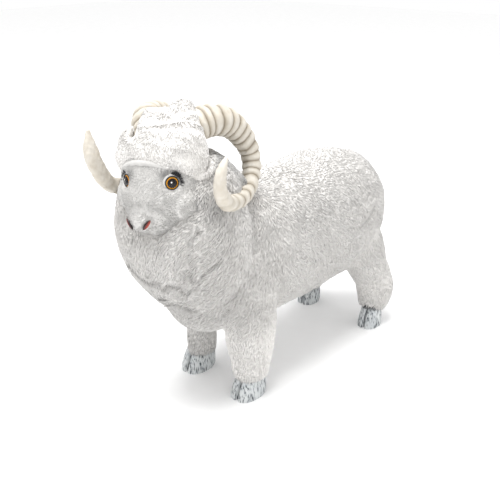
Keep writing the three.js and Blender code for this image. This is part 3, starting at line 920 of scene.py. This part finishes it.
def face_skin_points():
    """The face's surface: flat round the eyes, pressed in at the nostrils and the mouth."""
    points, quads = skin_round(head_shapes(), voxel=0.7, passes=22)
    local = to_head(points)
    for side in SIDES.values():
        centre, _, _, forward = eye_frame(side)
        away = local - centre
        height = away @ forward
        gap = np.linalg.norm(away - height[:, None] * forward, axis=1)
        level = np.exp(-((gap / EYE_SEAT) ** 4)) * (height > -2 * EYE_RADIUS)
        local = local - forward * (level * np.maximum(height + EYE_SINK, 0))[:, None]
    points = from_head(local)
    normals = point_normals(points, quads)
    press = np.zeros(len(points))
    for side in SIDES.values():
        gap = nostril_gap(local, side)
        press += 1.5 * bell(gap, 1.9) - 0.55 * bell(gap - 3.1, 0.9)
    points = points - normals * press[:, None]
    points = crease(points, point_normals(points, quads), from_head(MOUTH_LINE), 0.8, 0.8)
    return points, quads


def face_tone(points):
    """Soft grey at the inner corners of the eyes and round the nostrils, and painted light on the
    cheeks.
    """
    local = to_head(points)
    tone = np.ones(len(points))
    for side in SIDES.values():
        corner = EYE_PLACES[side] + (-4.2 * side, -2.5, 4.4)
        tone -= 0.6 * spot(local, corner, 3.8)
        tone -= 0.1 * spot(local, (side * 5.5, -48.5, 166), 5)
        # Painted light on the cheeks.
        tone += 0.25 * spot(local, (side * 22, -27, 172), 12)
        tone -= 0.1 * bell(nostril_gap(local, side), 2)
    return tone


def build_face():
    """The face and its short pile, with none round the eyes and the nostrils."""
    points, quads = face_skin_points()
    normals = point_normals(points, quads)
    nodes = ["face_skin", "chin"]
    add_piece("face_cover", (points, quads), "face_pile", nodes, face_tone(points))
    draw = np.random.default_rng(300)
    roots, outward = spread(points, normals, quads, FACE_DENSITY, draw)
    local = to_head(roots)
    keep = (local[:, 2] < 203) & (local[:, 1] < 2)
    for side in SIDES.values():
        keep &= np.linalg.norm(local - EYE_PLACES[side], axis=1) > EYE_RADIUS + 0.9
        keep &= nostril_gap(local, side) > 2.6
    roots, outward, local = roots[keep], outward[keep], local[keep]
    flows = turn_from_head(local * (1, 1, 0.6) - np.array([0, -50, 96]))
    swirl = 0.2 * waves(roots, 12, 31) + draw.normal(0, 0.12, len(roots))
    flows = combed(flows, outward, swirl)
    tone = face_tone(roots)
    add_locks("face_pile", roots, outward, flows, FACE_LOCKS, tone, "face_pile", draw)


def build_wool():
    """The lumpy wool on the head, its pile brushed out from the crown."""
    points, quads = skin_round(wool_shapes(), voxel=1.2, passes=7)
    lumps = 0.45 * waves(points, 8, 5) + 0.6 * waves(points, 17, 6)
    points = points + point_normals(points, quads) * lumps[:, None]
    normals = point_normals(points, quads)
    tone = np.full(len(points), WOOL_SKIN_TONE)
    add_piece("fleece_topknot", (points, quads), "fleece", ["topknot"], tone)
    draw = np.random.default_rng(400)
    roots, outward = spread(points, normals, quads, WOOL_DENSITY, draw)
    for word in SIDES:
        keep = outside(tree_of(*horn_core(word)), roots)
        roots, outward = roots[keep], outward[keep]
    crown = np.array([0, -2, 222])
    flows = turn_from_head((to_head(roots) - crown) * (1, 1, 0.5) + np.array([0, 0, -10]))
    swirl = 0.4 * waves(roots, 13, 41) + draw.normal(0, 0.14, len(roots))
    flows = combed(flows, outward, swirl)
    tone = WOOL_TONE + 0.02 * waves(roots, 6, 42)
    add_locks("pile_topknot", roots, outward, flows, WOOL_PILE, tone, "fleece", draw)


def build_brow():
    """The roll above the eyes, thinner and lower at both ends."""
    rows = []
    for u in np.linspace(-1, 1, 9):
        radius = 2.2 * (1 - 0.35 * u * u)
        rows.append((20 * u - 0.8, -37.6 + 6.6 * u * u, 196.4 - 6.3 * u * u + 0.8 * u, radius, radius))
    points, faces = loft(rows, rings=60, sides=28, widthways=(0, 0, 1))
    points = points + 0.12 * waves(points, 3, 51)[:, None]
    add_piece("brow_cover", (from_head(points), faces), "face_pile", ["brow_roll"])


def build_nostrils():
    """A long lens-shaped lining in each nostril."""
    for word, side in SIDES.items():
        top, end = NOSTRILS[side]
        along = unit(top - end)
        forward = np.array([side * 0.25, -0.96, -0.1])
        across = unit(np.cross(along, forward))
        axes = np.array([across, np.cross(across, along), along])
        ball, faces = blob((0, 0, 0), (1, 1, 1), sides=28)
        points = ball * (1.35, 1.0, 4.2) @ axes + (top + end) / 2 - forward * 0.7
        # Painted shade: the tone darkens the lining towards its inner side and the top of the slit.
        outer = ball @ axes[:, 0] * side
        tone = smoothstep(outer - 0.35 * ball[:, 2], -0.2, 1.0)
        shape = (from_head(points), faces)
        add_piece(f"nostril_lining_{word}", shape, "nostril", [f"nostril_{word}"], tone)


def dome_shape(radius, height, back, rings=16, sides=56):
    """A shallow dome on a flat disc, about the eye's own axis."""
    share = np.linspace(0.02, 1, rings)
    r = radius * share
    z = height * (1 - share**2)
    stations = [(0, 0, -back, radius * 0.02, radius * 0.02), (0, 0, -back, radius, radius)]
    stations += [(0, 0, z[i], r[i], r[i]) for i in range(rings - 1, -1, -1)]
    return loft_exact(np.array(stations), sides)


def build_eyes():
    """In each eye a clear dome over a painted, domed iris, and the rim."""
    for word, side in SIDES.items():
        points, faces = dome_shape(EYE_RADIUS, EYE_BULGE, back=0.05)
        shape = (in_eye_frame(points + (0, 0, 0.35), side), faces)
        add_piece(f"eye_dome_{word}", shape, "eye_glass", [f"eye_glass_{word}"])
        points, faces = dome_shape(EYE_RADIUS * 0.98, EYE_BULGE, back=4.0, rings=40)
        tone = IRIS_EDGE * np.linalg.norm(points[:, :2], axis=1) / EYE_RADIUS
        tone[np.linalg.norm(points[:, :2] - GLINT, axis=1) < GLINT_RADIUS] = 1
        shape = (in_eye_frame(points, side), faces)
        add_piece(f"eye_iris_{word}", shape, "eye_amber", [f"eye_disc_{word}"], tone)
        build_eye_rim(word, side)


def ring_shape(radius, thickness, rise, sections=64, sides=12):
    """A torus about the eye's own axis."""
    turn = turns(sections)
    angle = turns(sides)
    reach = radius + thickness * np.cos(angle)[None]
    x = np.cos(turn)[:, None] * reach
    y = np.sin(turn)[:, None] * reach
    z = np.broadcast_to(rise + thickness * np.sin(angle)[None], x.shape)
    points = np.stack([x, y, z], -1).reshape(-1, 3)
    faces = []
    for i in range(sections):
        a, b = i * sides, (i + 1) % sections * sides
        for j in range(sides):
            k = (j + 1) % sides
            faces.append((a + j, b + j, b + k, a + k))
    return points, faces


def build_eye_rim(word, side):
    """A black ring round the eye as painted shade of its socket, the pale lid outside it, and the tufts
    of lashes.
    """
    # Painted shade: a black ring laid round the eye where the socket's shade falls.
    points, faces = ring_shape(EYE_RADIUS + 0.1, thickness=0.35, rise=0.3)
    add_piece(f"eye_shade_ring_{word}", (in_eye_frame(points, side), faces), "lash")
    points, faces = ring_shape(EYE_RADIUS + 0.95, thickness=0.75, rise=-0.35)
    add_piece(f"eyelid_{word}", (in_eye_frame(points, side), faces), "face_pile")
    draw = np.random.default_rng(500 if side > 0 else 501)
    count = LASHES[side]
    angle = draw.choice(LASH_TUFTS, count, p=LASH_SHARES) + draw.normal(0, 0.28, count)
    radius = EYE_RADIUS + draw.uniform(0.1, 1.7, count)
    rise = draw.uniform(-0.4, 0.5, count)
    flat = np.column_stack([side * np.cos(angle) * radius, np.sin(angle) * radius, rise])
    outward = np.column_stack([side * np.cos(angle), np.sin(angle), np.full(count, 0.35)])
    roots = in_eye_frame(flat, side)
    flows = unit(in_eye_frame(outward, side) - in_eye_frame(np.zeros((1, 3)), side))
    normals = unit(np.cross(flows, draw.normal(size=(count, 3))))
    name = f"lash_tuft_{word}"
    for piece in add_locks(name, roots, normals, flows, LASH_LOCKS, np.ones(count), "lash", draw):
        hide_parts(f"lash_{word}")


# ---- horns and ears ----
def horn_core(word):
    """A plain solid as thick as the horn, to keep the wool out of it."""
    rows = [(*row, row[3]) for row in mirrored(HORNS[word], SIDES[word])]
    points, faces = loft(rows, rings=60, sides=24)
    return from_head(points), faces


def horn_ridges(t, angle, side):
    """How high the horn stands, 0 to about 1: uneven ribs, some of them double."""
    uneven = 0.35 * np.sin(t * 37 + 1) + 0.25 * np.sin(t * 71 + side)
    wobble = 0.22 * np.sin(angle * 2 + 1.0) + 0.16 * np.sin(angle * 3 + t * 20)
    phase = math.pi * HORN_RIBS * (t / RIBBED_SHARE) ** 0.88 + uneven + wobble
    double = 0.16 * np.abs(np.sin(2 * phase + 0.6)) * (0.5 + 0.5 * np.sin(angle * 2 + t * 43))
    return np.abs(np.sin(phase)) ** 0.8 + double


def build_horn(word, side):
    """A curled horn, ribbed and then smooth, with a keel and a widened flat tip."""
    rings, sides = 460, 64
    line = spline(mirrored(HORNS[word], side), rings)
    centres, radius = line[:, :3], line[:, 3, None]
    across, outward = ring_frame(centres)
    t = np.linspace(0, 1, rings)[:, None]
    angle = turns(sides)[None]
    fade = 1 - smoothstep(t, 0.6, 0.84)
    ridges = horn_ridges(t, angle, side)
    outer = 0.55 + 0.45 * smoothstep(-np.sin(angle), -0.6, 0.6)
    rib = (ridges - 0.7) * RIB_DEPTH * fade * outer
    keel = (0.04 + 0.16 * t) * np.maximum(-np.sin(angle + 0.5 * side), 0) ** 6
    reach = radius * (1 + rib + keel)
    offset = (np.cos(angle) * reach)[..., None] * across[:, None]
    offset = offset + (np.sin(angle) * reach)[..., None] * outward[:, None]
    flat_way = unit(np.array([side * 0.5, -0.85, 0]))
    widen = TIP_WIDENING * smoothstep(t, 0.65, 0.85)
    offset = offset + ((offset @ flat_way) * widen)[..., None] * flat_way
    points = (centres[:, None] + offset).reshape(-1, 3)
    points = points + unit(offset.reshape(-1, 3)) * (0.14 * waves(points, 1.7, 61))[:, None]
    points = np.vstack([points, centres[0], centres[-1]])
    groove = 1 - (1 - np.clip(ridges, 0, 1)) * fade * 1.1
    tone = np.append(np.clip(groove, 0, 1).ravel(), [1, 1])
    shape = (from_head(points), tube_faces(rings, sides))
    add_piece(f"horn_shell_{word}", shape, "horn", [f"horn_{word}"], tone)


def ear_shape(side):
    """A cupped leaf with a blunt end: points and quads in the head's frame."""
    along = unit(EAR_ALONG * (side, 1, 1))
    across = unit(np.array([0, 1, 1]) - along * (along[1] + along[2]))
    facing = np.cross(across, along)
    u = np.linspace(0.01, 1, EAR_ROWS)[:, None]
    angle = turns(EAR_SIDES)[None]
    blunt = np.sqrt(1 - np.clip((u - 0.88) / 0.125, 0, 1) ** 2 * 0.85)
    half = EAR_WIDTH * (0.45 + 0.28 * np.sin(math.pi * u**0.8)) * blunt
    v = np.cos(angle)
    cup = 3.2 * (1 - v**2) * np.sin(math.pi * (0.1 + 0.85 * u))
    thick = 1.1 * np.sin(angle) * (1 - 0.5 * u)
    points = (u * EAR_LENGTH * np.ones_like(v))[..., None] * along
    points = points + (half * v)[..., None] * across + (thick - cup)[..., None] * facing
    points = points.reshape(-1, 3) + EAR_ROOT * (side, 1, 1)
    quads = []
    for i in range(EAR_ROWS - 1):
        for j in range(EAR_SIDES):
            a, b = i * EAR_SIDES + j, i * EAR_SIDES + (j + 1) % EAR_SIDES
            quads.append((a + EAR_SIDES, b + EAR_SIDES, b, a))
    return points, np.array(quads)


def build_ear(word, side):
    """An ear, its pile brushed towards the tip."""
    local, quads = ear_shape(side)
    points = from_head(local)
    normals = point_normals(points, quads)
    root_ring = tuple(range(EAR_SIDES))
    tip_ring = tuple(range(len(points) - EAR_SIDES, len(points)))
    faces = [tuple(quad) for quad in quads] + [root_ring, tip_ring[::-1]]
    tone = 1.05 + 0.08 * waves(points, 5, 71)
    add_piece(f"ear_cover_{word}", (points, faces), "face_pile", [f"ear_{word}"], tone)
    draw = np.random.default_rng(600 if side > 0 else 601)
    roots, outward = spread(points, normals, quads, EAR_DENSITY, draw)
    flow = turn_from_head(unit(EAR_ALONG * (side, 1, 1)))[None] * np.ones((len(roots), 1))
    flows = combed(flow, outward, draw.normal(0, 0.25, len(roots)))
    tone = 1.1 + 0.16 * waves(roots, 4, 72)
    name = f"ear_pile_{word}"
    add_locks(name, roots, outward, flows, EAR_LOCKS, tone, "face_pile", draw)


# ---- hooves ----
# Where each hoof stands, and how wide and deep it is beside the drawn profile.
HOOVES = [
    ("front_left", 28, 0, 1, 1),
    ("front_right", -30, 5.5, 1, 1),
    ("rear_left", 37.5, 158, 0.86, 0.76),
    ("rear_right", -34, 163, 0.86, 0.76),
]
HOOF_SQUARENESS = 2.6  # 2 is an ellipse
CLEFT_DEPTH = 5.0
CLEFT_WIDTH = 1.1
HEEL_RISE = 4.5
HOOF_PROFILE = [
    (0, -3, 0, 10.4, 14.9),
    (0, -2.8, 4, 10.5, 14.5),
    (0, -2, 9, 10.1, 13.6),
    (0, -1, 14, 9.4, 12.2),
    (0, 0, 19, 8.6, 10.6),
]


def build_hoof(word, x, y, wide, deep):
    """A squarish cloven hoof with a raised heel and fine upright ridges."""
    rings, sides = 56, 160
    rows = spline(HOOF_PROFILE, rings)
    angle = turns(sides)
    cos, sin = np.cos(angle)[None], np.sin(angle)[None]
    power = HOOF_SQUARENESS
    square = (np.abs(cos) ** power + np.abs(sin) ** power) ** (-1 / power)
    px = cos * square * rows[:, 3, None]
    py = sin * square * rows[:, 4, None]
    front = smoothstep(-sin, 0.2, 0.8)
    cleft = CLEFT_DEPTH * bell(px, CLEFT_WIDTH) * front
    py = py + cleft + rows[:, 1, None]
    heel = HEEL_RISE * smoothstep(py, 0, 13)
    pz = rows[:, 2, None] * np.ones_like(px)
    pz = pz + heel * (1 - pz / rows[-1, 2])
    points = np.stack([px * wide, py * deep, pz], -1)
    ridges = 0.12 * np.sin(angle * 47)[None] * waves(points.reshape(-1, 3), 5, 81).reshape(px.shape)
    points[..., 0] += ridges * cos
    points[..., 1] += ridges * sin
    points = np.vstack([points.reshape(-1, 3), (0, -3, 0), (0, 0, rows[-1, 2])]) + (x, y, 0)
    shape = (points, tube_faces(rings, sides))
    # Painted shade: the tone darkens the top of the hoof, where it meets the hem of the leg's fleece.
    tone = 1 - 0.7 * smoothstep(points[:, 2] + 0.8 * waves(points, 2.2, 82), 15.5, 18)
    add_piece(f"hoof_shell_{word}", shape, "hoof", [f"hoof_{word}"], tone)


# ---- scene ----
def dress_cad():
    """The inner mouldings keep their CAD shape and get their own finish."""
    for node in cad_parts.values():
        if not node.hide_render:
            node.data.materials.clear()
            node.data.materials.append(MATERIALS["plastic"])


def add_floor():
    """White paper under the figurine."""
    half = 3.0
    mesh = bpy.data.meshes.new("floor")
    corners = [(-half, -half, 0), (half, -half, 0), (half, half, 0), (-half, half, 0)]
    mesh.from_pydata(corners, [], [(0, 1, 2, 3)])
    floor = add_object("floor", mesh)
    material, tree, shader = new_material("floor_paper")
    greys = [(0.3, (0.95, 0.95, 0.95)), (0.7, (0.98, 0.98, 0.98))]
    paint(tree, shader, ramp_node(tree, noise_node(tree, 40, 2), greys))
    set_inputs(shader, {"Roughness": 0.9})
    mesh.materials.append(material)


LIGHT_TARGET = Vector((0.0, 0.0, 0.1))


def point(made, place, direction):
    """Puts a light or camera at a place, looking in a direction."""
    made.location = place
    made.rotation_mode = "QUATERNION"
    made.rotation_quaternion = direction.to_track_quat("-Z", "Y")


def add_light(name, place, size, power):
    """A round soft light that looks at the figurine, in metres and watts."""
    data = bpy.data.lights.new(name, "AREA")
    data.shape = "DISK"
    data.size = size
    data.energy = power
    point(add_object(name, data), Vector(place), LIGHT_TARGET - Vector(place))


def add_lights():
    """A white room, a large light above and a small one in front."""
    bpy.context.scene.view_settings.view_transform = "Standard"
    world = bpy.data.worlds.new("studio")
    world.use_nodes = True
    set_inputs(world.node_tree.nodes["Background"], {"Color": (*WHITE, 1), "Strength": 1.0})
    bpy.context.scene.world = world
    add_light("top", (0.0, -0.25, 1.2), size=0.7, power=13.5)
    add_light("front", (0.85, -0.75, 0.25), size=0.5, power=1.2)


CAMERA_AZIMUTH = math.radians(40)
CAMERA_HEIGHT = math.radians(22)
CAMERA_PLACE = np.array([360.5, -397.8, 327.4])
CAMERA_LENS = 56.16


def add_camera():
    """The camera, in front and to the left, looking a little down."""
    data = bpy.data.cameras.new("camera")
    data.lens = CAMERA_LENS
    data.sensor_width = 36
    data.clip_start = 0.01
    data.clip_end = 10
    camera = add_object("camera", data)
    a, e = CAMERA_AZIMUTH, CAMERA_HEIGHT
    back = Vector((math.sin(a) * math.cos(e), -math.cos(a) * math.cos(e), math.sin(e)))
    point(camera, CAMERA_PLACE * MM + ORIGIN, -back)
    bpy.context.scene.camera = camera


build_body()
build_face()
build_wool()
build_brow()
build_nostrils()
build_eyes()
for word, side in SIDES.items():
    build_horn(word, side)
    build_ear(word, side)
for word, *place in HOOVES:
    build_hoof(word, *place)
dress_cad()
add_floor()
add_lights()
add_camera()
